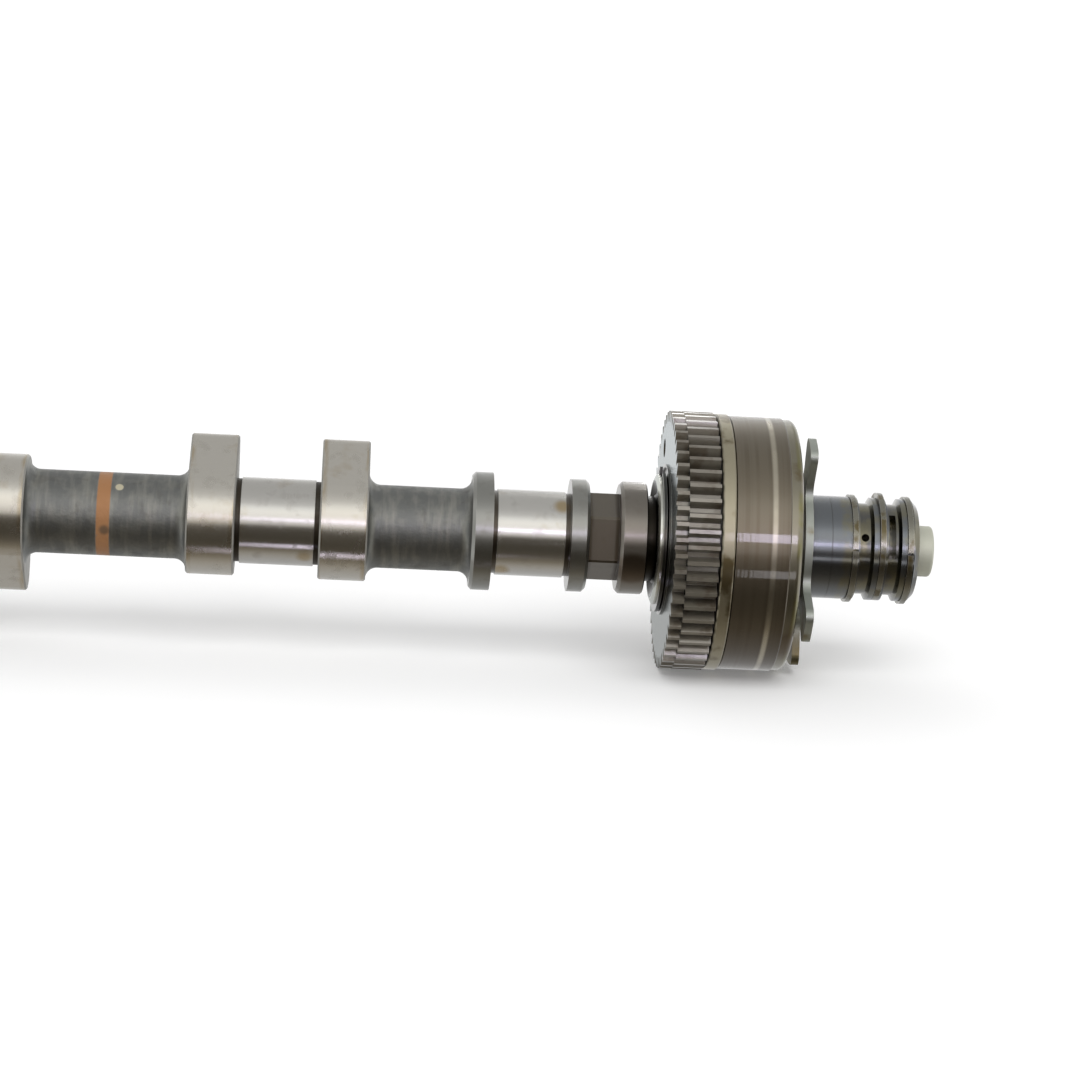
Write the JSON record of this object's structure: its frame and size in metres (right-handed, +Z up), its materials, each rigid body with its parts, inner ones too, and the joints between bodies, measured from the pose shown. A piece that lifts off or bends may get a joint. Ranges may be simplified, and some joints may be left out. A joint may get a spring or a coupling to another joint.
{
  "type": "camshaft",
  "caption": "Overhead camshaft with paired lobes, ground journals, a split gear and a vane-type timing unit, with a trigger plate and an oil-feed sleeve on its front end.",
  "frame": {"origin": "centre of the thrust journal, on the shaft's axis", "axes": "+X along the shaft towards the timing unit, +Z up as the shaft lies at rest on its gear and on one lobe of each of its two rear pairs"},
  "size_m": [0.5634, 0.081, 0.081],
  "materials": {
    "cast_shaft": "as cast, with ground lobes and journals",
    "dark_steel": "hardened, ground",
    "sintered_steel": "sintered, machined",
    "spring_steel": "dark, oiled",
    "zinc_plate": "dull zinc plate",
    "polished_sleeve": "ground and polished",
    "pale_bolt": "satin, pale",
    "oiled_drum": "turned, brown oil film",
    "straw_plate": "ground, straw-coloured oil film",
    "oiled_gear": "hobbed, brown oil film",
    "seal_strip": "moulded",
    "seal_ring": "ground"
  },
  "bodies": {
    "camshaft": {"camshaft": "cast_shaft", "knock_pin": "dark_steel", "vane_rotor": "sintered_steel", "vane_seal_1": "seal_strip", "vane_seal_2": "seal_strip", "vane_seal_3": "seal_strip", "vane_seal_4": "seal_strip", "vane_seal_springs": "spring_steel", "lock_spring": "spring_steel", "lock_cap": "dark_steel", "trigger_plate": "zinc_plate", "oil_sleeve": "polished_sleeve", "seal_ring_1": "seal_ring", "seal_ring_2": "seal_ring", "seal_ring_3": "seal_ring", "centre_bolt": "pale_bolt"},
    "timing_housing": {"housing": "oiled_drum", "land_seal_1": "seal_strip", "land_seal_2": "seal_strip", "land_seal_3": "seal_strip", "land_seal_4": "seal_strip", "land_seal_springs": "spring_steel", "rear_plate": "straw_plate", "lock_bush": "dark_steel", "cover_plate": "straw_plate", "housing_bolts": "dark_steel", "main_gear": "oiled_gear", "gear_pin": "dark_steel", "scissor_spring": "spring_steel", "spring_washer": "spring_steel", "snap_ring": "spring_steel"},
    "sub_gear": {"sub_gear": "oiled_gear", "sub_gear_pin": "dark_steel"},
    "lock_pin": {"lock_pin": "dark_steel"}
  },
  "joints": [
    {"name": "phaser_swing", "type": "hinge", "parent": "camshaft", "child": "timing_housing", "pos_m": [0.0461, 0, 0], "axis": [1, 0, 0], "range_deg": [0, 25]},
    {"name": "sub_gear_turn", "type": "hinge", "parent": "timing_housing", "child": "sub_gear", "pos_m": [0.0441, 0, 0], "axis": [1, 0, 0], "range_deg": [0, 3], "stiffness_Nm_per_rad": 20, "deforming": ["scissor_spring"]},
    {"name": "lock_pin_travel", "type": "slide", "parent": "camshaft", "child": "lock_pin", "axis": [1, 0, 0], "range_m": [0, 0.0015], "stiffness_N_per_m": 800, "springref_m": -0.006, "deforming": ["lock_spring"]}
  ]
}
